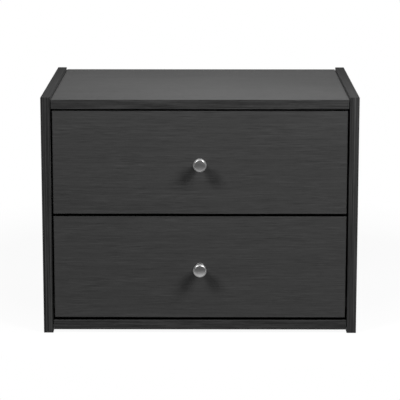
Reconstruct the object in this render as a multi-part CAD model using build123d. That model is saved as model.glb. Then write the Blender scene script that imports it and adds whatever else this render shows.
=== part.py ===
from build123d import *
import os

# A low chest with two drawers. Laminated board panels are joined by cams and dowels,
# and the drawers ride on steel runners with nylon rollers.
# Millimetres: X runs across the width, Y from front to back, Z up.

# Case
case_width = 500.0
case_depth = 365.0
case_height = 380.5
board_thickness = 15.0
top_lip = 3.5  # the side panels stand this far above the top board
foot_lip = 5.5  # and reach this far below the bottom board
end_gap = 1.2  # from each end of the top and bottom boards to the side panels
band_thickness = 1.0
band_round = 0.6

# Back panel
back_thickness = 3.0
back_setback = 10.0  # from its rear face to the rear edges of the side panels
back_groove_depth = 6.0
back_nail_count = 4

# Gaps around the drawer fronts
side_gap = 3.0
top_gap = 3.0
middle_gap = 4.5
bottom_gap = 5.0

# Drawer boxes
front_thickness = 15.0
drawer_board = 12.0
drawer_bottom_thickness = 3.0
bottom_groove_depth = 5.0
bottom_raise = 12.5  # from the lower edge of a drawer side up to the drawer bottom
bottom_nail_count = 3
box_raise = 12.0  # from the lower edge of a front up to the lower edge of its sides
box_drop = 25.0  # from the upper edge of a front down to the upper edge of its sides
box_rear_space = 12.0  # behind a closed drawer

# Fit of a panel in its groove, and of fasteners in their holes
groove_clearance = 0.2
groove_end_clearance = 0.5
hole_clearance = 0.1
hole_end_clearance = 0.8

# Roller runners
runner_space = 12.7  # between a side panel and a drawer side
runner_front_space = 2.0  # behind the drawer front
runner_rear_space = 23.0  # from the rear end of a runner to the rear of the drawer side
steel = 1.2
bend_round = 0.8
channel_clearance = 0.5  # between the channel and the drawer's runner
wing_clearance = 1.6  # between the drawer's runner and the back of the channel
wing_headroom = 1.6
lift_notch = 40.0  # the channel's upper flange is cut back here, to lift the drawer out
stop_length = 8.0
stop_height = 4.0
stop_clearance = 0.5
open_roller_spacing = 51.0  # between the two roller axles of a runner when it is open

# Rollers and the rivets that they turn on
roller_diameter = 16.0
roller_round = 0.6
roller_inset = 12.0  # from the end of a runner to its roller's axle
roller_lift = 1.0  # a case roller clears the floor of its channel by this
roll_clearance = 0.2
roller_side_clearance = 1.4
rivet_diameter = 4.0
rivet_shoulder_diameter = 6.0
rivet_head_diameter = 6.4
rivet_head_height = 0.8
rivet_fit = 0.05
rivet_end_play = 0.1
running_clearance = 0.08

# Cams, their bolts, and dowels
cam_diameter = 15.0
cam_floor = 2.5  # board left over a cam
cam_setback = 24.0  # from the end of a board to the middle of a cam
cam_drive_length = 8.0
cam_drive_width = 1.6
cam_drive_depth = 1.4
bolt_thread_diameter = 5.0
bolt_thread_length = 10.0
bolt_stem_diameter = 6.0
bolt_neck_diameter = 4.0
bolt_head_length = 3.0
bolt_play = 0.2
dowel_diameter = 8.0
dowel_length = 30.0
dowel_seat = 10.0  # length of a dowel in the side panel
dowel_chamfer = 0.8
case_cam_inset = 60.0  # from the front and the rear of the case
dowel_offset = 32.0  # from a cam bolt to the dowel beside it
drawer_cam_low_inset = 38.0
drawer_cam_high_inset = 30.0

# Screws and nails
screw_diameter = 3.5
screw_point = 3.0
screw_head_diameter = 6.4
runner_screw_length = 12.0
runner_screw_head_height = 0.9
runner_screw_inset = 40.0
back_screw_length = 35.0
back_screw_head_depth = 2.0
back_screw_low_inset = 45.0
back_screw_high_inset = 30.0
drive_length = 3.6
drive_width = 0.9
drive_depth = 0.6
nail_diameter = 1.6
nail_length = 15.0
nail_point = 2.0
nail_head_diameter = 4.4
nail_head_height = 0.8

# Knobs
knob_projection = 27.0
knob_diameter = 21.5
knob_foot_diameter = 14.8
knob_foot_height = 1.5
knob_waist_diameter = 11.0
knob_waist_height = 11.0
knob_flare_round = 2.0
knob_rim_height = 1.2
knob_bevel_width = 2.0
knob_bevel_height = 2.2
knob_bevel_round = 1.0  # where the bevel meets the rim
knob_face_round = 1.2  # where the bevel meets the face
knob_dome = 0.9
knob_screw_diameter = 4.0
knob_screw_reach = 9.0  # length of the screw inside the knob
knob_screw_head_diameter = 8.0
knob_screw_head_height = 2.4

overrun = 1.0  # how far cuts run past the faces that they open
edge_tolerance = 0.001  # for picking edges by their place

# Places along Y, with the knobs counted in the depth that is centred on the origin
overall_depth = case_depth + knob_projection
back_y = overall_depth / 2
front_y = back_y - case_depth
back_panel_back = back_y - back_setback
back_panel_front = back_panel_back - back_thickness
front_rear_y = front_y + front_thickness
box_back = back_panel_front - box_rear_space
runner_front = front_rear_y + runner_front_space
runner_back = box_back - runner_rear_space

# Places along X, on the left; the right is its mirror image
outer_x = -case_width / 2
inner_x = outer_x + board_thickness
board_end_x = inner_x + end_gap
front_x = inner_x + side_gap
box_x = inner_x + runner_space
box_inner_x = box_x + drawer_board
channel_x = box_x - steel - channel_clearance
wing_x = inner_x + steel + wing_clearance
roller_left = inner_x + steel + roller_side_clearance
roller_right = box_x - steel - roller_side_clearance

# Places along Z
bottom_board_low = foot_lip
bottom_board_high = bottom_board_low + board_thickness
top_board_high = case_height - top_lip
top_board_low = top_board_high - board_thickness
fronts_height = top_board_low - bottom_board_high - top_gap - middle_gap - bottom_gap
front_height = fronts_height / 2
front_lows = {
    "lower": bottom_board_high + bottom_gap,
    "upper": bottom_board_high + bottom_gap + front_height + middle_gap,
}
box_height = front_height - box_raise - box_drop

# Heights above the floor of a runner's channel
roller_radius = roller_diameter / 2
case_axle_height = roller_lift + roller_radius
drawer_axle_height = roll_clearance + roller_radius
wing_low = roller_lift + roller_diameter + roll_clearance
wing_high = wing_low + steel
channel_height = wing_high + wing_headroom

# Places along the runners
case_axle_y = runner_front + roller_inset
drawer_axle_y = runner_back - roller_inset
stop_back = case_axle_y + open_roller_spacing - roller_radius - stop_clearance
drawer_travel = drawer_axle_y - case_axle_y - open_roller_spacing
runner_screw_ys = (runner_front + runner_screw_inset, runner_back - runner_screw_inset)


def block(left, right, front, back, low, high):
    box = Box(right - left, back - front, high - low)
    return Pos((left + right) / 2, (front + back) / 2, (low + high) / 2) * box


def rod(diameter, start, end):
    # A round bar along Z.
    upright = (Align.CENTER, Align.CENTER, Align.MIN)
    return Pos(0, 0, start) * Cylinder(diameter / 2, end - start, align=upright)


def taper(start_diameter, end_diameter, start, end):
    # A round bar along Z whose diameter changes steadily.
    upright = (Align.CENTER, Align.CENTER, Align.MIN)
    cone = Cone(start_diameter / 2, end_diameter / 2, end - start, align=upright)
    return Pos(0, 0, start) * cone


def mirrored(piece):
    return mirror(piece, about=Plane.YZ)


def both_sides(pieces):
    return pieces + [mirrored(piece) for piece in pieces]


# Turns that point a fastener, drawn along Z, along another axis.
towards_right = Rot(0, 90, 0)
towards_front = Rot(90, 0, 0)
towards_left = Rot(0, -90, 0)


def long_edges(piece, x, z):
    # The edges along Y at one place in the section.
    found = []
    for edge in piece.edges().filter_by(Axis.Y):
        middle = edge.center()
        if abs(middle.X - x) < edge_tolerance and abs(middle.Z - z) < edge_tolerance:
            found.append(edge)
    return found


def cross_recess(top, length, width, depth):
    half_length = length / 2
    half_width = width / 2
    low = top - overrun
    high = top + depth
    slot = block(-half_length, half_length, -half_width, half_width, low, high)
    return slot + Rot(0, 0, 90) * slot


# Screws and nails point along Z, from the face that the head sits on at zero.
def runner_screw():
    head = rod(screw_head_diameter, -runner_screw_head_height, 0)
    shank = rod(screw_diameter, 0, runner_screw_length - screw_point)
    point_start = runner_screw_length - screw_point
    point = taper(screw_diameter, 0, point_start, runner_screw_length)
    recess = cross_recess(-runner_screw_head_height, drive_length, drive_width, drive_depth)
    return head + shank + point - recess


def runner_screw_hole():
    return rod(screw_diameter + 2 * hole_clearance, -overrun, runner_screw_length)


def back_screw():
    head = taper(screw_head_diameter, screw_diameter, 0, back_screw_head_depth)
    point_start = back_screw_length - screw_point
    shank = rod(screw_diameter, back_screw_head_depth, point_start)
    point = taper(screw_diameter, 0, point_start, back_screw_length)
    return head + shank + point - cross_recess(0, drive_length, drive_width, drive_depth)


def back_screw_hole():
    growth = 2 * hole_clearance
    mouth = screw_head_diameter + growth
    bore = screw_diameter + growth
    sink = taper(mouth, bore, 0, back_screw_head_depth)
    return sink + rod(mouth, -overrun, 0) + rod(bore, 0, back_screw_length)


def nail():
    head = rod(nail_head_diameter, -nail_head_height, 0)
    point_start = nail_length - nail_point
    return head + rod(nail_diameter, 0, point_start) + taper(nail_diameter, 0, point_start, nail_length)


def nail_hole():
    return rod(nail_diameter + 2 * hole_clearance, -overrun, nail_length)


# A cam joint is drawn along X: the thread is in the board before zero, the stem lies in
# the middle of the board after zero, and the cam opens on that board's lower face.
def cam_middle(gap):
    return gap + cam_setback


def cam_bolt(gap):
    middle = cam_middle(gap)
    head_start = middle - bolt_head_length / 2
    stem_end = middle - cam_diameter / 2 - bolt_play
    thread = rod(bolt_thread_diameter, -bolt_thread_length, 0)
    stem = rod(bolt_stem_diameter, 0, stem_end)
    neck = rod(bolt_neck_diameter, stem_end, head_start)
    head = rod(bolt_stem_diameter, head_start, head_start + bolt_head_length)
    return towards_right * (thread + stem + neck + head)


def cam(gap, board):
    middle = cam_middle(gap)
    face = -board / 2
    growth = 2 * bolt_play
    head_start = middle - bolt_head_length / 2 - bolt_play
    head_end = middle + bolt_head_length / 2 + bolt_play
    body = Pos(middle, 0, 0) * rod(cam_diameter, face, face + board - cam_floor)
    head_room = rod(bolt_stem_diameter + growth, head_start, head_end)
    neck_room = rod(bolt_neck_diameter + growth, 0, head_end)
    drive = Pos(middle, 0, 0) * cross_recess(face, cam_drive_length, cam_drive_width, cam_drive_depth)
    return body - towards_right * (head_room + neck_room) - drive


def cam_seat(gap, board):
    # The pocket for a cam and the bore for its bolt.
    middle = cam_middle(gap)
    face = -board / 2
    floor = face + board - cam_floor
    pocket = rod(cam_diameter + 2 * hole_clearance, face - overrun, floor)
    bore = rod(bolt_stem_diameter + 2 * bolt_play, -overrun, middle)
    return Pos(middle, 0, 0) * pocket + towards_right * bore


def bolt_hole():
    thread_hole = bolt_thread_diameter + 2 * hole_clearance
    return towards_right * rod(thread_hole, -bolt_thread_length - hole_end_clearance, overrun)


def dowel():
    # Drawn along X like a cam joint, with its seat in the board before zero.
    bar = rod(dowel_diameter, -dowel_seat, dowel_length - dowel_seat)
    return towards_right * chamfer(bar.edges().filter_by(GeomType.CIRCLE), dowel_chamfer)


def dowel_hole():
    start = -dowel_seat - hole_end_clearance
    end = dowel_length - dowel_seat + hole_end_clearance
    return towards_right * rod(dowel_diameter + 2 * hole_clearance, start, end)


# Places of the fasteners on the left of the case.
def case_cam_places():
    rows = (bottom_board_low + board_thickness / 2, top_board_low + board_thickness / 2)
    columns = (front_y + case_cam_inset, back_y - case_cam_inset)
    return [Pos(inner_x, y, z) for z in rows for y in columns]


def case_dowel_places():
    rows = (bottom_board_low + board_thickness / 2, top_board_low + board_thickness / 2)
    first = front_y + case_cam_inset + dowel_offset
    last = back_y - case_cam_inset - dowel_offset
    return [Pos(inner_x, y, z) for z in rows for y in (first, last)]


def track_of(front_low):
    # The floor of a drawer's runner channels, level with the lower edges of its sides.
    return front_low + box_raise


def case_runner_screw_places(track):
    height = track + channel_height / 2
    return [Pos(inner_x + steel, y, height) * towards_left for y in runner_screw_ys]


def case_axle_place(track):
    return Pos(inner_x, case_axle_y, track + case_axle_height) * towards_right


def drawer_axle_place(track):
    return Pos(box_x, drawer_axle_y, track + drawer_axle_height) * towards_left


# Case panels
def side_panel():
    panel = block(outer_x, inner_x, front_y + band_thickness, back_y, 0, case_height - band_thickness)
    groove_front = back_panel_front - groove_clearance
    groove_back = back_panel_back + groove_clearance
    groove_high = top_board_low + back_groove_depth
    groove_left = inner_x - back_groove_depth
    panel -= block(groove_left, inner_x + overrun, groove_front, groove_back, -overrun, groove_high)
    cuts = [place * bolt_hole() for place in case_cam_places()]
    cuts += [place * dowel_hole() for place in case_dowel_places()]
    for front_low in front_lows.values():
        cuts += [place * runner_screw_hole() for place in case_runner_screw_places(track_of(front_low))]
    return panel - cuts


def side_bands():
    front_band = block(outer_x, inner_x, front_y, front_y + band_thickness, 0, case_height)
    front_band = fillet(front_band.edges().filter_by(Axis.Z).group_by(Axis.Y)[0], band_round)
    top_low = case_height - band_thickness
    top_band = block(outer_x, inner_x, front_y + band_thickness, back_y, top_low, case_height)
    top_band = fillet(top_band.edges().filter_by(Axis.Y).group_by(Axis.Z)[-1], band_round)
    return [front_band, top_band]


def board_seats(low):
    # The cam seats and dowel holes of the top or the bottom board.
    high = low + board_thickness
    cuts = []
    for place in case_cam_places():
        if low < place.position.Z < high:
            cuts.append(place * cam_seat(end_gap, board_thickness))
    for place in case_dowel_places():
        if low < place.position.Z < high:
            cuts.append(place * dowel_hole())
    return both_sides(cuts)


def top_board():
    board = block(board_end_x, -board_end_x, front_y + band_thickness, back_y, top_board_low, top_board_high)
    groove_front = back_panel_front - groove_clearance
    groove_back = back_panel_back + groove_clearance
    groove_low = top_board_low - overrun
    groove_high = top_board_low + back_groove_depth
    board -= block(inner_x, -inner_x, groove_front, groove_back, groove_low, groove_high)
    return board - board_seats(top_board_low)


def bottom_board():
    low = bottom_board_low
    high = bottom_board_high
    board = block(board_end_x, -board_end_x, front_y + band_thickness, back_panel_front, low, high)
    cuts = [place * nail_hole() for place in back_nail_places()]
    return board - board_seats(low) - cuts


def board_band(low):
    band = block(board_end_x, -board_end_x, front_y, front_y + band_thickness, low, low + board_thickness)
    return fillet(band.edges().filter_by(Axis.X).group_by(Axis.Y)[0], band_round)


def back_nail_places():
    pitch = -2 * inner_x / back_nail_count
    height = bottom_board_low + board_thickness / 2
    columns = [inner_x + pitch * (index + 1 / 2) for index in range(back_nail_count)]
    return [Pos(x, back_panel_back, height) * towards_front for x in columns]


def back_panel():
    left = inner_x - back_groove_depth + groove_end_clearance
    high = top_board_low + back_groove_depth - groove_end_clearance
    panel = block(left, -left, back_panel_front, back_panel_back, bottom_board_low, high)
    return panel - [place * nail_hole() for place in back_nail_places()]


def case_runner(track):
    low = track - steel
    high = track + channel_height + steel
    channel = block(inner_x, channel_x, runner_front, runner_back, low, high)
    hollow_front = runner_front - overrun
    hollow_back = runner_back + overrun
    hollow_high = track + channel_height
    hollow_x = inner_x + steel
    channel -= block(hollow_x, channel_x + overrun, hollow_front, hollow_back, track, hollow_high)
    outer_edges = long_edges(channel, inner_x, low) + long_edges(channel, inner_x, high)
    channel = fillet(outer_edges, bend_round + steel)
    inner_edges = long_edges(channel, hollow_x, track) + long_edges(channel, hollow_x, hollow_high)
    channel = fillet(inner_edges, bend_round)
    notch_back = runner_front + lift_notch
    notch_low = hollow_high - bend_round
    channel -= block(hollow_x, channel_x + overrun, hollow_front, notch_back, notch_low, high + overrun)
    stop_front = stop_back - stop_length
    channel += block(channel_x - steel, channel_x, stop_front, stop_back, track, track + stop_height)
    cuts = [place * runner_screw_hole() for place in case_runner_screw_places(track)]
    cuts.append(case_axle_place(track) * rivet_hole())
    return channel - cuts


# A rivet points along Z, away from the face of the runner that its tail is flush with.
def rivet_hole():
    return rod(rivet_diameter + 2 * rivet_fit, -overrun, steel + overrun)


def rivet_length():
    return steel + roller_side_clearance + roller_right - roller_left


def rivet():
    shoulder_end = steel + roller_side_clearance - rivet_end_play
    head_end = rivet_length() - rivet_end_play
    head_start = head_end - rivet_head_height
    shaft = rod(rivet_diameter, 0, head_start)
    shoulder = rod(rivet_shoulder_diameter, steel, shoulder_end)
    return shaft + shoulder + rod(rivet_head_diameter, head_start, head_end)


def roller():
    start = steel + roller_side_clearance
    end = rivet_length()
    sink_start = end - rivet_head_height - 2 * rivet_end_play
    wheel = rod(roller_diameter, start, end)
    wheel = fillet(wheel.edges().filter_by(GeomType.CIRCLE), roller_round)
    bore = rod(rivet_diameter + 2 * running_clearance, start - overrun, end + overrun)
    sink = rod(rivet_head_diameter + 2 * roll_clearance, sink_start, end + overrun)
    return wheel - bore - sink


# Drawer pieces, each for the drawer whose front starts at front_low
def front_cam_places(front_low):
    track = track_of(front_low)
    heights = (track + drawer_cam_low_inset, track + box_height - drawer_cam_high_inset)
    middle = box_x + drawer_board / 2
    places = []
    for height in heights:
        joint = Plane(origin=(middle, front_rear_y, height), x_dir=(0, 1, 0), z_dir=(1, 0, 0))
        places.append(joint.location)
    return places


def back_screw_places(front_low):
    track = track_of(front_low)
    heights = (track + back_screw_low_inset, track + box_height - back_screw_high_inset)
    depth = box_back - drawer_board / 2
    return [Pos(box_x, depth, height) * towards_right for height in heights]


def runner_foot_places(front_low):
    low = track_of(front_low) - steel
    middle = box_x + drawer_board / 2
    return [Pos(middle, y, low) for y in runner_screw_ys]


def bottom_nail_places(front_low):
    pitch = -2 * box_inner_x / bottom_nail_count
    low = track_of(front_low) + bottom_raise
    depth = box_back - drawer_board / 2
    columns = [box_inner_x + pitch * (index + 1 / 2) for index in range(bottom_nail_count)]
    return [Pos(x, depth, low) for x in columns]


def knob_place(front_low):
    return Pos(0, front_y, front_low + front_height / 2) * towards_front


def bottom_groove(front_low):
    # The groove in the drawer sides and the front that holds the drawer bottom.
    low = track_of(front_low) + bottom_raise
    high = low + drawer_bottom_thickness + groove_clearance
    left = box_inner_x - bottom_groove_depth
    return block(left, -left, front_rear_y - bottom_groove_depth, box_back + overrun, low, high)


def drawer_front(front_low):
    left = front_x + band_thickness
    low = front_low + band_thickness
    high = front_low + front_height - band_thickness
    panel = block(left, -left, front_y, front_rear_y, low, high)
    panel -= bottom_groove(front_low)
    cuts = both_sides([place * bolt_hole() for place in front_cam_places(front_low)])
    bore = knob_screw_diameter + 2 * hole_clearance
    cuts.append(knob_place(front_low) * rod(bore, -front_thickness - overrun, overrun))
    return panel - cuts


def front_bands(front_low):
    high = front_low + front_height
    inner_low = front_low + band_thickness
    inner_high = high - band_thickness
    top_band = block(front_x, -front_x, front_y, front_rear_y, inner_high, high)
    top_band = fillet(top_band.edges().filter_by(Axis.X).group_by(Axis.Z)[-1], band_round)
    low_band = block(front_x, -front_x, front_y, front_rear_y, front_low, inner_low)
    low_band = fillet(low_band.edges().filter_by(Axis.X).group_by(Axis.Z)[0], band_round)
    left_band = block(front_x, front_x + band_thickness, front_y, front_rear_y, inner_low, inner_high)
    left_band = fillet(left_band.edges().filter_by(Axis.Z).group_by(Axis.X)[0], band_round)
    return [top_band, low_band, left_band, mirrored(left_band)]


def drawer_side(front_low):
    track = track_of(front_low)
    panel = block(box_x, box_inner_x, front_rear_y, box_back, track, track + box_height)
    panel -= bottom_groove(front_low)
    cuts = [place * cam_seat(0, drawer_board) for place in front_cam_places(front_low)]
    cuts += [place * back_screw_hole() for place in back_screw_places(front_low)]
    cuts += [place * runner_screw_hole() for place in runner_foot_places(front_low)]
    return panel - cuts


def drawer_back(front_low):
    track = track_of(front_low)
    low = track + bottom_raise + drawer_bottom_thickness
    panel = block(box_inner_x, -box_inner_x, box_back - drawer_board, box_back, low, track + box_height)
    cuts = both_sides([place * back_screw_hole() for place in back_screw_places(front_low)])
    cuts += [place * nail_hole() for place in bottom_nail_places(front_low)]
    return panel - cuts


def drawer_bottom(front_low):
    low = track_of(front_low) + bottom_raise
    left = box_inner_x - bottom_groove_depth + groove_end_clearance
    front = front_rear_y - bottom_groove_depth + groove_end_clearance
    panel = block(left, -left, front, box_back, low, low + drawer_bottom_thickness)
    return panel - [place * nail_hole() for place in bottom_nail_places(front_low)]


def drawer_runner(front_low):
    track = track_of(front_low)
    low = track - steel
    high = track + wing_high
    web_x = box_x - steel
    web = block(web_x, box_x, runner_front, runner_back, low, high)
    foot = block(web_x, box_inner_x, runner_front, runner_back, low, track)
    wing = block(wing_x, box_x, runner_front, runner_back, track + wing_low, high)
    rail = web + foot + wing
    rail = fillet(long_edges(rail, web_x, low) + long_edges(rail, box_x, high), bend_round + steel)
    rail = fillet(long_edges(rail, web_x, track + wing_low), bend_round)
    cuts = [place * runner_screw_hole() for place in runner_foot_places(front_low)]
    cuts.append(drawer_axle_place(track) * rivet_hole())
    return rail - cuts


def round_edges(solid):
    # Its closed edges, from the lowest up.
    return solid.edges().filter_by(lambda edge: edge.is_closed).sort_by(Axis.Z)


def knob():
    # Turned about Z, from the face of the drawer at zero, with a bevel round the domed face.
    radius = knob_diameter / 2
    foot = knob_foot_diameter / 2
    waist = knob_waist_diameter / 2
    face = radius - knob_bevel_width
    flare = radius - knob_flare_round
    face_high = knob_projection - knob_dome
    rim_high = face_high - knob_bevel_height
    rim_low = rim_high - knob_rim_height
    flare_low = rim_low - knob_flare_round
    arc_share = 1 - 1 / 2**0.5  # of a quarter arc's radius, at its middle
    flare_mid = (radius - knob_flare_round * arc_share, rim_low - knob_flare_round * (1 - arc_share))
    outline = [
        Polyline((0, 0), (foot, 0), (foot, knob_foot_height)),
        ThreePointArc((foot, knob_foot_height), (waist, knob_waist_height), (flare, flare_low)),
        ThreePointArc((flare, flare_low), flare_mid, (radius, rim_low)),
        Polyline((radius, rim_low), (radius, rim_high), (face, face_high)),
        TangentArc((0, knob_projection), (face, face_high), tangent=(1, 0)),
        Line((0, knob_projection), (0, 0)),
    ]
    body = revolve(Plane.XZ * make_face(outline), Axis.Z)
    body = fillet(round_edges(body)[-2], knob_bevel_round)
    body = fillet(round_edges(body)[-1], knob_face_round)
    bore = knob_screw_diameter + 2 * hole_clearance
    return body - rod(bore, -overrun, knob_screw_reach + hole_end_clearance)


def knob_screw():
    seat = -front_thickness
    head = rod(knob_screw_head_diameter, seat - knob_screw_head_height, seat)
    head = fillet(head.edges().group_by(Axis.Z)[0], knob_screw_head_height / 2)
    shank = rod(knob_screw_diameter, seat, knob_screw_reach)
    recess = cross_recess(seat - knob_screw_head_height, drive_length, drive_width, drive_depth)
    return head + shank - recess


def case_nodes():
    cam_places = case_cam_places()
    panel = side_panel()
    bands = side_bands()
    bolts = [place * cam_bolt(end_gap) for place in cam_places]
    cams = [place * cam(end_gap, board_thickness) for place in cam_places]
    nodes = {
        "left_side_panel": [panel],
        "right_side_panel": [mirrored(panel)],
        "left_side_bands": bands,
        "right_side_bands": [mirrored(band) for band in bands],
        "top_board": [top_board()],
        "top_board_band": [board_band(top_board_low)],
        "bottom_board": [bottom_board()],
        "bottom_board_band": [board_band(bottom_board_low)],
        "back_panel": [back_panel()],
        "back_panel_nails": [place * nail() for place in back_nail_places()],
        "case_cams": both_sides(cams),
        "case_cam_bolts": both_sides(bolts),
        "case_dowels": both_sides([place * dowel() for place in case_dowel_places()]),
    }
    screws = []
    rivets = []
    for level, front_low in front_lows.items():
        track = track_of(front_low)
        runner = case_runner(track)
        wheel = case_axle_place(track) * roller()
        nodes[f"{level}_left_case_runner"] = [runner]
        nodes[f"{level}_right_case_runner"] = [mirrored(runner)]
        nodes[f"{level}_left_case_roller"] = [wheel]
        nodes[f"{level}_right_case_roller"] = [mirrored(wheel)]
        screws += [place * runner_screw() for place in case_runner_screw_places(track)]
        rivets.append(case_axle_place(track) * rivet())
    nodes["case_runner_screws"] = both_sides(screws)
    nodes["case_roller_rivets"] = both_sides(rivets)
    return nodes


def drawer_nodes(front_low):
    track = track_of(front_low)
    cam_places = front_cam_places(front_low)
    side = drawer_side(front_low)
    runner = drawer_runner(front_low)
    wheel = drawer_axle_place(track) * roller()
    cams = [place * cam(0, drawer_board) for place in cam_places]
    back_screws = [place * back_screw() for place in back_screw_places(front_low)]
    foot_screws = [place * runner_screw() for place in runner_foot_places(front_low)]
    return {
        "front": [drawer_front(front_low)],
        "front_bands": front_bands(front_low),
        "left_side": [side],
        "right_side": [mirrored(side)],
        "back": [drawer_back(front_low)],
        "bottom": [drawer_bottom(front_low)],
        "bottom_nails": [place * nail() for place in bottom_nail_places(front_low)],
        "knob": [knob_place(front_low) * knob()],
        "knob_screw": [knob_place(front_low) * knob_screw()],
        "cams": both_sides(cams),
        "cam_bolts": both_sides([place * cam_bolt(0) for place in cam_places]),
        "back_screws": both_sides(back_screws),
        "left_runner": [runner],
        "right_runner": [mirrored(runner)],
        "runner_screws": both_sides(foot_screws),
        "left_roller": [wheel],
        "right_roller": [mirrored(wheel)],
        "roller_rivets": both_sides([drawer_axle_place(track) * rivet()]),
    }


def write_node(name, pieces):
    solids = [solid for piece in pieces for solid in piece.solids()]
    export_step(Compound(solids), f"parts/{name}.step")


os.makedirs("parts", exist_ok=True)
for name, pieces in case_nodes().items():
    write_node(name, pieces)
for level, front_low in front_lows.items():
    for name, pieces in drawer_nodes(front_low).items():
        write_node(f"{level}_drawer_{name}", pieces)
print(f"drawer front {-2 * front_x:.1f} by {front_height:.1f}, drawer travel {drawer_travel:.1f}")
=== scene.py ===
import bpy
import math
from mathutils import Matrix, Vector


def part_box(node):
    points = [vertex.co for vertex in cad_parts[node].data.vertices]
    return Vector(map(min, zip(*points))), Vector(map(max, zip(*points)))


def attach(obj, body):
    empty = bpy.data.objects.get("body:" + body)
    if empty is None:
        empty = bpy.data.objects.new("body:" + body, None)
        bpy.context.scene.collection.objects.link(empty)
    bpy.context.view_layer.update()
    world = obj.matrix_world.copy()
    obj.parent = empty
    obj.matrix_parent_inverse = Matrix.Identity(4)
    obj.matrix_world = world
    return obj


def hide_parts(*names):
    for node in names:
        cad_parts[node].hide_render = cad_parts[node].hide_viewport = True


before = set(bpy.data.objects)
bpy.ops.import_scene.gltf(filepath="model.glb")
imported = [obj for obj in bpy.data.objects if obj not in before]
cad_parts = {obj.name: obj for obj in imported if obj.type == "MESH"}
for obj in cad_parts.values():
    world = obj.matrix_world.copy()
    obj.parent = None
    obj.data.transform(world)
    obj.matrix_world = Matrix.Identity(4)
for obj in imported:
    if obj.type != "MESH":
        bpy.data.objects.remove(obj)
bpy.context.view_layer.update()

scene = bpy.context.scene
scene.view_settings.view_transform = "Standard"


# Small helpers for node trees
def feed(tree, socket, value):
    if isinstance(value, bpy.types.NodeSocket):
        tree.links.new(value, socket)
    else:
        socket.default_value = value


def addNode(tree, kind, feeds=(), **settings):
    node = tree.nodes.new(kind)
    for name, value in settings.items():
        setattr(node, name, value)
    for name, value in dict(feeds).items():
        feed(tree, node.inputs[name], value)
    return node


def maths(tree, operation, first, second=0.0):
    return addNode(tree, "ShaderNodeMath", {0: first, 1: second}, operation=operation).outputs["Value"]


def product(tree, first, *others):
    for value in others:
        first = maths(tree, "MULTIPLY", first, value)
    return first


def largest(tree, first, *others):
    for value in others:
        first = maths(tree, "MAXIMUM", first, value)
    return first


def vectorMaths(tree, operation, first, second):
    return addNode(tree, "ShaderNodeVectorMath", {0: first, 1: second}, operation=operation).outputs


# The Mix node has its sockets once for each kind of value, so they are picked by number
def mixColour(tree, factor, first, second, blend="MIX"):
    feeds = {0: factor, 6: first, 7: second}
    return addNode(tree, "ShaderNodeMix", feeds, data_type="RGBA", blend_type=blend).outputs[2]


def mixPlace(tree, factor, first, second):
    feeds = {0: factor, 4: first, 5: second}
    return addNode(tree, "ShaderNodeMix", feeds, data_type="VECTOR").outputs[1]


def spread(tree, value, fromLow, fromHigh, toLow, toHigh):
    feeds = {"Value": value, "From Min": fromLow, "From Max": fromHigh, "To Min": toLow, "To Max": toHigh}
    return addNode(tree, "ShaderNodeMapRange", feeds).outputs["Result"]


def noise(tree, vector, scale, detail=2.0, roughness=0.5):
    feeds = {"Vector": vector, "Scale": scale, "Detail": detail, "Roughness": roughness}
    return addNode(tree, "ShaderNodeTexNoise", feeds).outputs["Fac"]


noiseSpan = (0.3, 0.7)  # most values of a noise lie between these


def vary(tree, pattern, low, high):
    return spread(tree, pattern, *noiseSpan, low, high)


def eitherWay(depth):
    return 1.0 - depth, 1.0 + depth


def grey(level):
    return (level, level, level, 1.0)


def newGroup(name, control, outputs):
    tree = bpy.data.node_groups.new(name, "ShaderNodeTree")
    tree.interface.new_socket("Vector", in_out="INPUT", socket_type="NodeSocketVector")
    tree.interface.new_socket(control, in_out="INPUT", socket_type="NodeSocketFloat")
    for label in outputs:
        tree.interface.new_socket(label, in_out="OUTPUT", socket_type="NodeSocketFloat")
    return tree, tree.nodes.new("NodeGroupInput").outputs, tree.nodes.new("NodeGroupOutput").inputs


woodGrain = {
    "softDetail": 1.0,
    "bendStretch": (0.7, 0.04, 0.04),
    "bendMiddle": (0.5, 0.5, 0.5),
    "bandScale": 0.3,
    "streakDetail": 4.0,
    "streakRoughness": 0.62,
    "dashStretch": (5.0, 2.2, 2.2),
    "paleDashes": (0.56, 0.66),  # noise values from where a dash begins to where it is full
    "darkDashes": (0.44, 0.34),
    "patchScale": 2.6,
    "patches": (0.35, 0.65),
    "faintest": 0.25,
    "poreStretch": (16.0, 7.0, 7.0),
    "pores": (0.6, 0.7),
}


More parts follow.
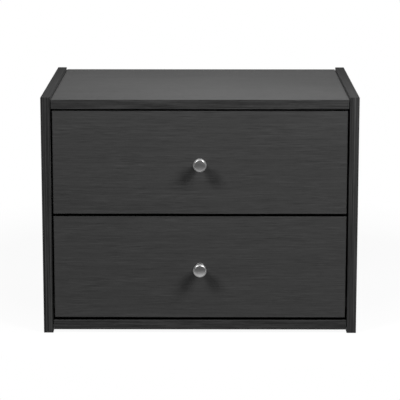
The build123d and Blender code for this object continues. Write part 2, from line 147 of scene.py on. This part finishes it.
# Wood grain print: the vector comes in with X along the grain, and one unit across it is one streak
def makeGrainGroup():
    tree, given, result = newGroup("woodGrain", "Wave", ["Streaks", "Bands", "Dashes", "Pores"])
    soft = woodGrain["softDetail"]
    slow = vectorMaths(tree, "MULTIPLY", given["Vector"], woodGrain["bendStretch"])["Vector"]
    bend = addNode(tree, "ShaderNodeTexNoise", {"Vector": slow, "Scale": 1.0, "Detail": soft})
    swing = vectorMaths(tree, "SUBTRACT", bend.outputs["Color"], woodGrain["bendMiddle"])["Vector"]
    shift = addNode(tree, "ShaderNodeVectorMath", {0: swing, "Scale": given["Wave"]}, operation="SCALE")
    wavy = vectorMaths(tree, "ADD", given["Vector"], shift.outputs["Vector"])["Vector"]
    bands = noise(tree, wavy, woodGrain["bandScale"])
    streaks = noise(tree, wavy, 1.0, woodGrain["streakDetail"], woodGrain["streakRoughness"])
    short = vectorMaths(tree, "MULTIPLY", given["Vector"], woodGrain["dashStretch"])["Vector"]
    ticks = noise(tree, short, 1.0, soft)
    pale = spread(tree, ticks, *woodGrain["paleDashes"], 0.0, 1.0)
    dark = spread(tree, ticks, *woodGrain["darkDashes"], 0.0, 1.0)
    patchNoise = noise(tree, slow, woodGrain["patchScale"])
    patches = spread(tree, patchNoise, *woodGrain["patches"], woodGrain["faintest"], 1.0)
    dashes = product(tree, maths(tree, "SUBTRACT", pale, dark), patches)
    hair = vectorMaths(tree, "MULTIPLY", wavy, woodGrain["poreStretch"])["Vector"]
    pores = spread(tree, noise(tree, hair, 1.0, soft), *woodGrain["pores"], 0.0, 1.0)
    for label, value in (("Streaks", streaks), ("Bands", bands), ("Dashes", dashes), ("Pores", pores)):
        tree.links.new(value, result[label])
    return tree


pressedFlecks = {"gritScale": 2.3, "gritDetail": 3.0, "gritRoughness": 0.6}


# Pressed chips and fibres, for raw board and cast or coated metal
def makeFleckGroup():
    tree, given, result = newGroup("pressedFlecks", "Size", ["Flecks", "Grit"])
    feeds = {"Vector": given["Vector"], "Scale": given["Size"], "Randomness": 1.0}
    cells = addNode(tree, "ShaderNodeTexVoronoi", feeds)
    tint = addNode(tree, "ShaderNodeSeparateColor", {"Color": cells.outputs["Color"]})
    fine = product(tree, given["Size"], pressedFlecks["gritScale"])
    grit = noise(tree, given["Vector"], fine, pressedFlecks["gritDetail"], pressedFlecks["gritRoughness"])
    tree.links.new(tint.outputs["Red"], result["Flecks"])
    tree.links.new(grit, result["Grit"])
    return tree


wiping = {"detail": 3.0, "roughness": 0.55}


# Slow changes of gloss over a surface, as handling and wiping leave them
def makeHandlingGroup():
    tree, given, result = newGroup("handling", "Size", ["Smudges"])
    smudges = noise(tree, given["Vector"], given["Size"], wiping["detail"], wiping["roughness"])
    tree.links.new(smudges, result["Smudges"])
    return tree


grainGroup = makeGrainGroup()
fleckGroup = makeFleckGroup()
handlingGroup = makeHandlingGroup()


def newFinish(name):
    finish = bpy.data.materials.new(name)
    finish.use_nodes = True
    tree = finish.node_tree
    return finish, tree, tree.nodes["Principled BSDF"]


def objectPlace(tree, scale=(1.0, 1.0, 1.0), turn=(0.0, 0.0, 0.0), shift=(0.0, 0.0, 0.0)):
    place = addNode(tree, "ShaderNodeTexCoord").outputs["Object"]
    feeds = {"Vector": place, "Location": shift, "Rotation": turn, "Scale": scale}
    return addNode(tree, "ShaderNodeMapping", feeds).outputs["Vector"]


def useGroup(tree, group, **feeds):
    return addNode(tree, "ShaderNodeGroup", feeds, node_tree=group).outputs


def paint(tree, shader, colour, roughness):
    tree.links.new(colour, shader.inputs["Base Color"])
    tree.links.new(roughness, shader.inputs["Roughness"])


def addBump(tree, shader, height, strength, distance):
    feeds = {"Height": height, "Strength": strength, "Distance": distance}
    bump = addNode(tree, "ShaderNodeBump", feeds)
    tree.links.new(bump.outputs["Normal"], shader.inputs["Normal"])


# Waves along each of the axes, so many to the metre
def waves(tree, place, axes, count):
    parts = addNode(tree, "ShaderNodeSeparateXYZ", {"Vector": place}).outputs
    return [maths(tree, "SINE", product(tree, parts[axis], count * math.tau)) for axis in axes]


upwards = (0.0, 0.0, 1.0)
rearwards = (0.0, 1.0, 0.0)
downwards = (0.0, 0.0, -1.0)
leftwards = (-1.0, 0.0, 0.0)
rightwards = (1.0, 0.0, 0.0)
facingLimit = 0.7  # cosine of the angle up to which a face counts as facing a direction


def facing(tree, direction):
    normal = addNode(tree, "ShaderNodeNewGeometry").outputs["True Normal"]
    cosine = vectorMaths(tree, "DOT_PRODUCT", normal, direction)["Value"]
    return maths(tree, "GREATER_THAN", cosine, facingLimit)


rawBoard = {
    "pale": (0.30, 0.205, 0.115, 1.0),
    "dark": (0.13, 0.075, 0.038, 1.0),
    "fleckSize": 480.0,
    "fleckSpan": (0.05, 0.6),
    "roughness": 0.9,
}


# Cut chipboard, as on the rear and lower edges that carry no band
def rawBoardColour(tree):
    flecks = useGroup(tree, fleckGroup, Vector=objectPlace(tree), Size=rawBoard["fleckSize"])
    tone = product(tree, flecks["Flecks"], flecks["Grit"])
    share = spread(tree, tone, *rawBoard["fleckSpan"], 0.0, 1.0)
    return mixColour(tree, share, rawBoard["dark"], rawBoard["pale"])


laminate = {
    "tone": 0.0405,
    "streakDepth": 0.1,  # share of the tone that the streaks take either way
    "bandDepth": 0.05,
    "dashDepth": 0.22,
    "poreDepth": 0.2,
    "gloss": (0.5, 0.6),  # roughness, from the smoothest to the dullest
    "glossSpan": (0.3, 1.3),  # of smudges and pores together
    "specular": 0.045,
    "wave": 0.5,
    "smudgeSize": 7.0,
    "streakRelief": 0.3,
    "relief": (0.25, 0.00008),  # strength, and depth in metres
}


def makeLaminate(name, run, rawSides=()):
    finish, tree, shader = newFinish(name)
    grain = useGroup(tree, grainGroup, Vector=objectPlace(tree, **run), Wave=laminate["wave"])
    handling = useGroup(tree, handlingGroup, Vector=objectPlace(tree), Size=laminate["smudgeSize"])
    streaks = vary(tree, grain["Streaks"], *eitherWay(laminate["streakDepth"]))
    bands = vary(tree, grain["Bands"], *eitherWay(laminate["bandDepth"]))
    dashes = spread(tree, grain["Dashes"], -1.0, 1.0, *eitherWay(laminate["dashDepth"]))
    sink = spread(tree, grain["Pores"], 0.0, 1.0, 1.0, 1.0 - laminate["poreDepth"])
    tone = product(tree, streaks, bands, dashes, sink)
    colour = mixColour(tree, 1.0, grey(laminate["tone"]), tone, "MULTIPLY")
    dullness = maths(tree, "ADD", handling["Smudges"], grain["Pores"])
    rough = spread(tree, dullness, *laminate["glossSpan"], *laminate["gloss"])
    for side in rawSides:
        mask = facing(tree, side)
        colour = mixColour(tree, mask, colour, rawBoardColour(tree))
        rough = largest(tree, rough, product(tree, mask, rawBoard["roughness"]))
    paint(tree, shader, colour, rough)
    shader.inputs["Specular IOR Level"].default_value = laminate["specular"]
    ridges = product(tree, grain["Streaks"], laminate["streakRelief"])
    addBump(tree, shader, maths(tree, "SUBTRACT", ridges, grain["Pores"]), *laminate["relief"])
    return finish


edgeBand = {
    "tone": 0.032,
    "lengthways": {"streakDepth": 0.45, "dashDepth": 0.3},
    "upright": {"streakDepth": 0.8, "dashDepth": 0.4},
    "poreDepth": 0.35,
    "topPrint": 0.25,  # the print is fainter on edges that face up
    "gloss": (0.7, 0.85),
    "specular": 0.004,
    "wave": 0.8,
    "relief": (0.3, 0.0001),
}


def makeEdgeBand(name, depths, run, endRun=None):
    finish, tree, shader = newFinish(name)
    place = objectPlace(tree, **run)
    if endRun:
        ends = largest(tree, facing(tree, leftwards), facing(tree, rightwards))
        place = mixPlace(tree, ends, place, objectPlace(tree, **endRun))
    grain = useGroup(tree, grainGroup, Vector=place, Wave=edgeBand["wave"])
    streaks = vary(tree, grain["Streaks"], *eitherWay(depths["streakDepth"]))
    dashes = spread(tree, grain["Dashes"], -1.0, 1.0, *eitherWay(depths["dashDepth"]))
    sink = spread(tree, grain["Pores"], 0.0, 1.0, 1.0, 1.0 - edgeBand["poreDepth"])
    tone = product(tree, streaks, dashes, sink)
    printed = spread(tree, facing(tree, upwards), 0.0, 1.0, 1.0, edgeBand["topPrint"])
    colour = mixColour(tree, printed, grey(edgeBand["tone"]), tone, "MULTIPLY")
    paint(tree, shader, colour, vary(tree, grain["Streaks"], *edgeBand["gloss"]))
    shader.inputs["Specular IOR Level"].default_value = edgeBand["specular"]
    addBump(tree, shader, maths(tree, "SUBTRACT", grain["Streaks"], grain["Pores"]), *edgeBand["relief"])
    return finish


drawerFoil = {
    "tone": 0.034,
    "gritDepth": 0.12,
    "gloss": (0.5, 0.62),
    "specular": 0.3,
    "linen": 1500.0,  # threads to the metre
    "fleckSize": 900.0,
    "smudgeSize": 11.0,
    "relief": (0.2, 0.00005),
}


# Plain paper foil with a fine linen emboss, on the drawer sides and backs
def makeDrawerFoil():
    finish, tree, shader = newFinish("drawerFoil")
    place = objectPlace(tree)
    handling = useGroup(tree, handlingGroup, Vector=place, Size=drawerFoil["smudgeSize"])
    flecks = useGroup(tree, fleckGroup, Vector=place, Size=drawerFoil["fleckSize"])
    tone = vary(tree, flecks["Grit"], *eitherWay(drawerFoil["gritDepth"]))
    colour = mixColour(tree, 1.0, grey(drawerFoil["tone"]), tone, "MULTIPLY")
    paint(tree, shader, colour, vary(tree, handling["Smudges"], *drawerFoil["gloss"]))
    shader.inputs["Specular IOR Level"].default_value = drawerFoil["specular"]
    threads = product(tree, *waves(tree, place, "XYZ", drawerFoil["linen"]))
    addBump(tree, shader, maths(tree, "ADD", threads, flecks["Grit"]), *drawerFoil["relief"])
    return finish


hardboard = {
    "face": 0.032,
    "faceDepth": 0.15,
    "rawPale": (0.22, 0.125, 0.062, 1.0),
    "rawDark": (0.105, 0.055, 0.026, 1.0),
    "fibreDepth": 0.2,
    "screen": 420.0,  # wires to the metre in the mark of the press screen
    "gloss": (0.52, 0.64),
    "rawDullness": 0.25,
    "specular": 0.3,
    "fleckSize": 700.0,
    "smudgeSize": 9.0,
    "relief": (0.4, 0.0002),
}


# Thin pressed board, printed on one side and brown with the mark of the press screen on the other
def makeHardboard(name, rawSide, across):
    finish, tree, shader = newFinish(name)
    place = objectPlace(tree)
    flecks = useGroup(tree, fleckGroup, Vector=place, Size=hardboard["fleckSize"])
    handling = useGroup(tree, handlingGroup, Vector=place, Size=hardboard["smudgeSize"])
    raw = facing(tree, rawSide)
    clouds = vary(tree, handling["Smudges"], *eitherWay(hardboard["fibreDepth"]))
    fibre = vary(tree, product(tree, flecks["Grit"], clouds), 0.0, 1.0)
    brown = mixColour(tree, fibre, hardboard["rawDark"], hardboard["rawPale"])
    dark, pale = [grey(hardboard["face"] * share) for share in eitherWay(hardboard["faceDepth"])]
    face = mixColour(tree, vary(tree, flecks["Grit"], 0.0, 1.0), dark, pale)
    dullness = product(tree, raw, hardboard["rawDullness"])
    rough = maths(tree, "ADD", dullness, vary(tree, handling["Smudges"], *hardboard["gloss"]))
    paint(tree, shader, mixColour(tree, raw, face, brown), rough)
    shader.inputs["Specular IOR Level"].default_value = hardboard["specular"]
    screen = maths(tree, "ADD", *waves(tree, place, across, hardboard["screen"]))
    height = maths(tree, "ADD", product(tree, screen, raw), flecks["Grit"])
    addBump(tree, shader, height, *hardboard["relief"])
    return finish


runnerEnamel = {
    "dark": 0.0084,
    "pale": 0.0168,
    "gloss": (0.34, 0.46),
    "peel": 900.0,
    "smudgeSize": 24.0,
    "relief": (0.25, 0.0001),
}


# Black baked enamel with a slight orange peel
def makeRunnerEnamel():
    finish, tree, shader = newFinish("runnerEnamel")
    place = objectPlace(tree)
    flecks = useGroup(tree, fleckGroup, Vector=place, Size=runnerEnamel["peel"])
    handling = useGroup(tree, handlingGroup, Vector=place, Size=runnerEnamel["smudgeSize"])
    colour = mixColour(tree, handling["Smudges"], grey(runnerEnamel["dark"]), grey(runnerEnamel["pale"]))
    paint(tree, shader, colour, vary(tree, handling["Smudges"], *runnerEnamel["gloss"]))
    addBump(tree, shader, flecks["Grit"], *runnerEnamel["relief"])
    return finish


metals = {
    "platedSteel": {
        "bright": (0.62, 0.63, 0.65, 1.0),
        "dull": (0.47, 0.47, 0.46, 1.0),
        "gloss": (0.24, 0.42),
        "fleckSize": 1800.0,
    },
    "castZinc": {
        "bright": (0.46, 0.46, 0.47, 1.0),
        "dull": (0.31, 0.31, 0.32, 1.0),
        "gloss": (0.4, 0.6),
        "fleckSize": 1200.0,
    },
}
metalMarks = {"smudgeSize": 60.0, "relief": (0.15, 0.00005)}


def makeMetal(name):
    values = metals[name]
    finish, tree, shader = newFinish(name)
    place = objectPlace(tree)
    flecks = useGroup(tree, fleckGroup, Vector=place, Size=values["fleckSize"])
    handling = useGroup(tree, handlingGroup, Vector=place, Size=metalMarks["smudgeSize"])
    colour = mixColour(tree, handling["Smudges"], values["dull"], values["bright"])
    paint(tree, shader, colour, vary(tree, flecks["Grit"], *values["gloss"]))
    shader.inputs["Metallic"].default_value = 1.0
    addBump(tree, shader, flecks["Grit"], *metalMarks["relief"])
    return finish


nylon = {
    "pale": (0.68, 0.66, 0.6, 1.0),
    "shade": (0.58, 0.555, 0.49, 1.0),
    "gloss": (0.38, 0.5),
    "glow": 0.15,
    "glowDepth": (0.002, 0.0018, 0.0014),
    "fleckSize": 1500.0,
    "smudgeSize": 90.0,
    "relief": (0.1, 0.00004),
}


def makeNylon():
    finish, tree, shader = newFinish("nylon")
    place = objectPlace(tree)
    flecks = useGroup(tree, fleckGroup, Vector=place, Size=nylon["fleckSize"])
    handling = useGroup(tree, handlingGroup, Vector=place, Size=nylon["smudgeSize"])
    colour = mixColour(tree, handling["Smudges"], nylon["shade"], nylon["pale"])
    paint(tree, shader, colour, vary(tree, flecks["Grit"], *nylon["gloss"]))
    shader.inputs["Subsurface Weight"].default_value = nylon["glow"]
    shader.inputs["Subsurface Radius"].default_value = nylon["glowDepth"]
    addBump(tree, shader, flecks["Grit"], *nylon["relief"])
    return finish


beech = {
    "pale": (0.52, 0.34, 0.19, 1.0),
    "dark": (0.36, 0.21, 0.1, 1.0),
    "gloss": (0.6, 0.8),
    "run": {"scale": (60.0, 1500.0, 1500.0)},
    "wave": 0.5,
    "relief": (0.3, 0.0001),
}


def makeBeech():
    finish, tree, shader = newFinish("beech")
    grain = useGroup(tree, grainGroup, Vector=objectPlace(tree, **beech["run"]), Wave=beech["wave"])
    colour = mixColour(tree, grain["Streaks"], beech["dark"], beech["pale"])
    paint(tree, shader, colour, spread(tree, grain["Pores"], 0.0, 1.0, *beech["gloss"]))
    addBump(tree, shader, grain["Streaks"], *beech["relief"])
    return finish


satinNickel = {
    "bright": (0.49, 0.49, 0.49, 1.0),
    "shade": (0.43, 0.43, 0.43, 1.0),
    "gloss": (0.33, 0.38),
    "brush": 5200.0,  # turning marks to the metre
    "smudgeSize": 70.0,
    "relief": (0.03, 0.00003),
}


# Plated knob metal with fine turning marks that run round the knob
def makeSatinNickel(centreHeight):
    finish, tree, shader = newFinish("satinNickel")
    place = objectPlace(tree, shift=(0.0, 0.0, -centreHeight))
    parts = addNode(tree, "ShaderNodeSeparateXYZ", {"Vector": place}).outputs
    across = product(tree, parts["X"], parts["X"])
    up = product(tree, parts["Z"], parts["Z"])
    radius = maths(tree, "SQRT", maths(tree, "ADD", across, up))
    ring = addNode(tree, "ShaderNodeCombineXYZ", {"X": radius, "Y": parts["Y"]}).outputs["Vector"]
    marks = noise(tree, ring, satinNickel["brush"])
    handling = useGroup(tree, handlingGroup, Vector=place, Size=satinNickel["smudgeSize"])
    colour = mixColour(tree, handling["Smudges"], satinNickel["shade"], satinNickel["bright"])
    paint(tree, shader, colour, vary(tree, marks, *satinNickel["gloss"]))
    shader.inputs["Metallic"].default_value = 1.0
    addBump(tree, shader, marks, *satinNickel["relief"])
    return finish


# How often the grain repeats to the metre along X, Y and Z, and the turn that lays it along X
quarterTurn = (0.0, math.pi / 2, 0.0)
alongWidth = {"scale": (7.0, 400.0, 400.0)}
upright = {"scale": (400.0, 400.0, 7.0), "turn": quarterTurn}
bandUpright = {"scale": (560.0, 3.0, 3.0), "turn": quarterTurn, "shift": (0.0, 0.0, 12.4)}
bandAlongWidth = {"scale": (9.0, 380.0, 380.0)}
bandAtEnds = {"scale": (380.0, 380.0, 9.0), "turn": quarterTurn}

foil = makeDrawerFoil()
# The first ending that fits a node's name gives its finish
nodeFinishes = [
    ("_side_panel", makeLaminate("uprightLaminate", upright, [rearwards, downwards])),
    ("_side_bands", makeEdgeBand("uprightBand", edgeBand["upright"], bandUpright)),
    ("_board_band", makeEdgeBand("lengthwaysBand", edgeBand["lengthways"], bandAlongWidth)),
    ("_front_bands", makeEdgeBand("frontBand", edgeBand["lengthways"], bandAlongWidth, bandAtEnds)),
    ("_board", makeLaminate("lengthwaysLaminate", alongWidth, [rearwards])),
    ("_drawer_front", makeLaminate("drawerLaminate", alongWidth)),
    ("back_panel", makeHardboard("backHardboard", rearwards, "XZ")),
    ("_drawer_bottom", makeHardboard("drawerHardboard", downwards, "XY")),
    ("_left_side", foil),
    ("_right_side", foil),
    ("_drawer_back", foil),
    ("_runner", makeRunnerEnamel()),
    ("_roller", makeNylon()),
    ("_dowels", makeBeech()),
    ("_cams", makeMetal("castZinc")),
    ("", makeMetal("platedSteel")),
]
for name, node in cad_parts.items():
    finish = next(material for ending, material in nodeFinishes if name.endswith(ending))
    for slot in node.material_slots:
        slot.material = finish
print("finishes on", len(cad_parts), "nodes")


knobShape = {
    "segments": 96,
    "footRadius": 0.0074,
    "footHeight": 0.0015,
    "waistRadius": 0.0055,
    "waistHeight": 0.011,
    "flareRound": 0.002,
    "rimBand": 0.0008,
    "outerRound": 0.001,
    "bevel": 0.0015,  # how much wider the bevel makes the face
    "bevelTilt": 48.0,
    "innerRound": 0.0012,
    "faceTilt": 11.5,  # slope of the domed face at its edge
    "edgeBreak": 0.0003,
    "poleRadius": 0.0004,
    "waistSteps": 22,
    "flareSteps": 8,
    "edgeSteps": 6,
    "domeShares": (0.85, 0.7, 0.5, 0.3, 0.12),
    "smoothUpTo": 40.0,
    "mergeWithin": 0.000001,
}


def circleThrough(first, second, third):
    (ax, ay), (bx, by), (cx, cy) = first, second, third
    scale = 2 * (ax * (by - cy) + bx * (cy - ay) + cx * (ay - by))
    a, b, c = ax * ax + ay * ay, bx * bx + by * by, cx * cx + cy * cy
    x = (a * (by - cy) + b * (cy - ay) + c * (ay - by)) / scale
    y = (a * (cx - bx) + b * (ax - cx) + c * (bx - ax)) / scale
    return x, y


def arcRings(centre, start, end, steps):
    # the points after start, round the centre, up to end
    radius = math.dist(centre, start)
    first = math.atan2(start[1] - centre[1], start[0] - centre[0])
    last = math.atan2(end[1] - centre[1], end[0] - centre[0])
    turn = (last - first + math.pi) % math.tau - math.pi
    rings = []
    for step in range(1, steps + 1):
        angle = first + turn * step / steps
        rings.append((centre[0] + radius * math.cos(angle), centre[1] + radius * math.sin(angle)))
    return rings


# Radius and distance from the drawer front, from the foot to the face
def knobRings(radius, projection):
    foot, height, edge = knobShape["footRadius"], knobShape["footHeight"], knobShape["edgeBreak"]
    flareRound, outer, inner = knobShape["flareRound"], knobShape["outerRound"], knobShape["innerRound"]
    bevel = knobShape["bevel"]
    steep, slope = math.radians(knobShape["bevelTilt"]), math.radians(knobShape["faceTilt"])
    face = radius - outer * (1 - math.sin(steep)) - bevel - inner * (math.sin(steep) - math.sin(slope))
    dome = face * math.tan(slope) / 2
    faceEdge = (face, projection - dome)
    innerCentre = (face - inner * math.sin(slope), faceEdge[1] - inner * math.cos(slope))
    bevelTop = (innerCentre[0] + inner * math.sin(steep), innerCentre[1] + inner * math.cos(steep))
    bevelLow = (bevelTop[0] + bevel, bevelTop[1] - bevel * math.tan(steep))
    outerCentre = (radius - outer, bevelLow[1] - outer * math.cos(steep))
    widest = (radius, outerCentre[1])
    widestLow = widest[1] - knobShape["rimBand"]
    footTop = (foot - edge, height)
    flare = (radius - flareRound, widestLow - flareRound)
    waist = (knobShape["waistRadius"], knobShape["waistHeight"])
    rings = [(foot, 0.0), (foot, height - edge), footTop]
    rings += arcRings(circleThrough(footTop, waist, flare), footTop, flare, knobShape["waistSteps"])
    rings += arcRings((flare[0], widestLow), flare, (radius, widestLow), knobShape["flareSteps"])
    rings.append(widest)
    rings += arcRings(outerCentre, widest, bevelLow, knobShape["edgeSteps"])
    rings.append(bevelTop)
    rings += arcRings(innerCentre, bevelTop, faceEdge, knobShape["edgeSteps"])
    for share in knobShape["domeShares"]:
        rings.append((face * share, projection - dome * share * share))
    rings.append((knobShape["poleRadius"], projection))
    return rings


def makeKnob(level):
    low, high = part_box(f"{level}_drawer_knob")
    middle = (low + high) / 2
    rings = knobRings((high.x - low.x) / 2, high.y - low.y)
    bpy.ops.object.select_all(action="DESELECT")
    bpy.ops.mesh.primitive_circle_add(vertices=knobShape["segments"], radius=rings[0][0], fill_type="NGON",
                                      location=(middle.x, high.y, middle.z), rotation=(math.pi / 2, 0, 0))
    knob = bpy.context.object
    knob.name = f"{level}Knob"
    bpy.ops.object.transform_apply(location=True, rotation=True, scale=True)
    bpy.ops.object.mode_set(mode="EDIT")
    bpy.ops.mesh.select_mode(type="FACE")
    bpy.ops.mesh.select_all(action="SELECT")
    for (lastRadius, lastReach), (radius, reach) in zip(rings, rings[1:]):
        bpy.ops.mesh.extrude_region_move(TRANSFORM_OT_translate={"value": (0, lastReach - reach, 0)})
        share = radius / lastRadius
        centre = (middle.x, high.y - reach, middle.z)
        bpy.ops.transform.resize(value=(share, 1, share), center_override=centre)
    bpy.ops.mesh.select_all(action="SELECT")
    bpy.ops.mesh.remove_doubles(threshold=knobShape["mergeWithin"])
    bpy.ops.mesh.normals_make_consistent(inside=False)
    bpy.ops.object.mode_set(mode="OBJECT")
    bpy.ops.object.shade_smooth_by_angle(angle=math.radians(knobShape["smoothUpTo"]))
    knob.data.materials.append(makeSatinNickel(middle.z))
    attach(knob, f"{level}_drawer")
    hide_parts(f"{level}_drawer_knob")
    return knob


for level in ("upper", "lower"):
    knob = makeKnob(level)
    print(knob.name, len(knob.data.polygons), "faces")


floorSheet = {
    "segments": 96,
    "radius": 0.72,
    "middle": (0.0, 0.3, 0.0),
    "fade": (0.4, 0.68),  # distances from the middle between which the shadow fades out
    "shade": 0.15,  # how much light the floor sends back onto the chest
    "pale": 0.85,
    "lift": 0.9,  # how much of the floor's white stays in the chest's shadow
}


# White to the camera and in reflections, with the shadow of the chest left in it
def makeFloor():
    bpy.ops.object.select_all(action="DESELECT")
    bpy.ops.mesh.primitive_circle_add(vertices=floorSheet["segments"], radius=floorSheet["radius"],
                                      fill_type="NGON", location=floorSheet["middle"])
    floor = bpy.context.object
    floor.name = "studioFloor"
    bpy.ops.object.transform_apply(location=True)
    finish = bpy.data.materials.new("palePaper")
    finish.use_nodes = True
    tree = finish.node_tree
    tree.nodes.clear()
    path = addNode(tree, "ShaderNodeLightPath").outputs
    seen = largest(tree, path["Is Camera Ray"], path["Is Glossy Ray"], path["Is Transmission Ray"])
    place = addNode(tree, "ShaderNodeTexCoord").outputs["Object"]
    away = vectorMaths(tree, "DISTANCE", place, floorSheet["middle"])["Value"]
    lift = spread(tree, away, *floorSheet["fade"], floorSheet["lift"], 1.0)
    colour = mixColour(tree, seen, grey(floorSheet["shade"]), grey(floorSheet["pale"]))
    paper = addNode(tree, "ShaderNodeBsdfDiffuse", {"Color": colour})
    white = addNode(tree, "ShaderNodeEmission", {"Color": grey(1.0), "Strength": 1.0})
    feeds = {0: product(tree, seen, lift), 1: paper.outputs[0], 2: white.outputs[0]}
    mixed = addNode(tree, "ShaderNodeMixShader", feeds)
    addNode(tree, "ShaderNodeOutputMaterial", {"Surface": mixed.outputs[0]})
    floor.data.materials.append(finish)


room = {
    "front": 0.03,
    "behind": 0.5,
    "edge": (0.0, 0.4),  # from the dim side to the white wall, by direction
    "around": (-0.4, 0.1),  # the same in polished metal, which shows it round the sides too
    "wallTop": (0.0, 0.3),  # the heights between which that wall fades out
    "sheen": 0.85,  # the floor further out, as polished metal shows it
    "below": (-0.28, -0.65),
    "ceiling": 0.8,
    "overhead": (0.6, 0.9),
}


# A dim room on the camera's side and a white wall behind the chest
def makeRoom():
    world = bpy.data.worlds.new("studioRoom")
    scene.world = world
    world.use_nodes = True
    tree = world.node_tree
    tree.nodes.clear()
    path = addNode(tree, "ShaderNodeLightPath").outputs
    direction = addNode(tree, "ShaderNodeTexCoord").outputs["Generated"]
    toward = addNode(tree, "ShaderNodeSeparateXYZ", {"Vector": direction}).outputs
    around = spread(tree, toward["Y"], *room["around"], 0.0, 1.0)
    wall = product(tree, around, spread(tree, toward["Z"], *room["wallTop"], 1.0, 0.0))
    below = spread(tree, toward["Z"], *room["below"], 0.0, room["sheen"])
    ceiling = spread(tree, toward["Z"], *room["overhead"], 0.0, room["ceiling"])
    reflected = product(tree, path["Is Glossy Ray"], largest(tree, wall, below, ceiling))
    seen = largest(tree, path["Is Camera Ray"], path["Is Transmission Ray"], reflected)
    level = spread(tree, toward["Y"], *room["edge"], room["front"], room["behind"])
    fill = addNode(tree, "ShaderNodeBackground", {"Color": grey(1.0), "Strength": level})
    white = addNode(tree, "ShaderNodeBackground", {"Color": grey(1.0), "Strength": 1.0})
    mixed = addNode(tree, "ShaderNodeMixShader", {0: seen, 1: fill.outputs[0], 2: white.outputs[0]})
    addNode(tree, "ShaderNodeOutputWorld", {"Surface": mixed.outputs[0]})


softboxes = {
    "leftLamp": {
        "azimuth": -45.0,
        "height": 39.5,
        "reach": 3.0,
        "size": (0.75, 0.75),
        "power": 72.5,
        "inMetal": True,  # whether polished metal shows the lamp
    },
    "rightLamp": {
        "azimuth": 46.0,
        "height": 39.5,
        "reach": 1.7,
        "size": (0.55, 0.55),
        "power": 30.5,
        "inMetal": True,
    },
    "topLamp": {
        "azimuth": 130.0,
        "height": 82.0,
        "reach": 0.57,
        "size": (0.3, 0.08),
        "power": 2.1,
        "inMetal": False,
    },
}


def makeSoftbox(name, aim):
    values = softboxes[name]
    lamp = bpy.data.lights.new(name, "AREA")
    lamp.shape = "RECTANGLE"
    lamp.size, lamp.size_y = values["size"]
    lamp.energy = values["power"]
    turn, rise = math.radians(values["azimuth"]), math.radians(values["height"])
    toward = Vector((math.sin(turn) * math.cos(rise), -math.cos(turn) * math.cos(rise), math.sin(rise)))
    holder = bpy.data.objects.new(name, lamp)
    holder.location = aim + toward * values["reach"]
    holder.rotation_euler = (-toward).to_track_quat("-Z", "Y").to_euler()
    holder.visible_glossy = values["inMetal"]
    scene.collection.objects.link(holder)


view = {"place": (0.0146, -3.1282, 0.8149), "tilt": 78.58, "turn": 0.28, "lens": 171.9}


def makeCamera():
    camera = bpy.data.objects.new("photoCamera", bpy.data.cameras.new("photoCamera"))
    camera.location = view["place"]
    camera.rotation_euler = (math.radians(view["tilt"]), 0.0, math.radians(view["turn"]))
    camera.data.lens = view["lens"]
    scene.collection.objects.link(camera)
    scene.camera = camera


makeFloor()
makeRoom()
frontLow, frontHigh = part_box("upper_drawer_front")
for name in softboxes:
    makeSoftbox(name, Vector(((frontLow.x + frontHigh.x) / 2, frontLow.y, frontLow.z)))
makeCamera()
print("floor, room, lamps and camera in place")
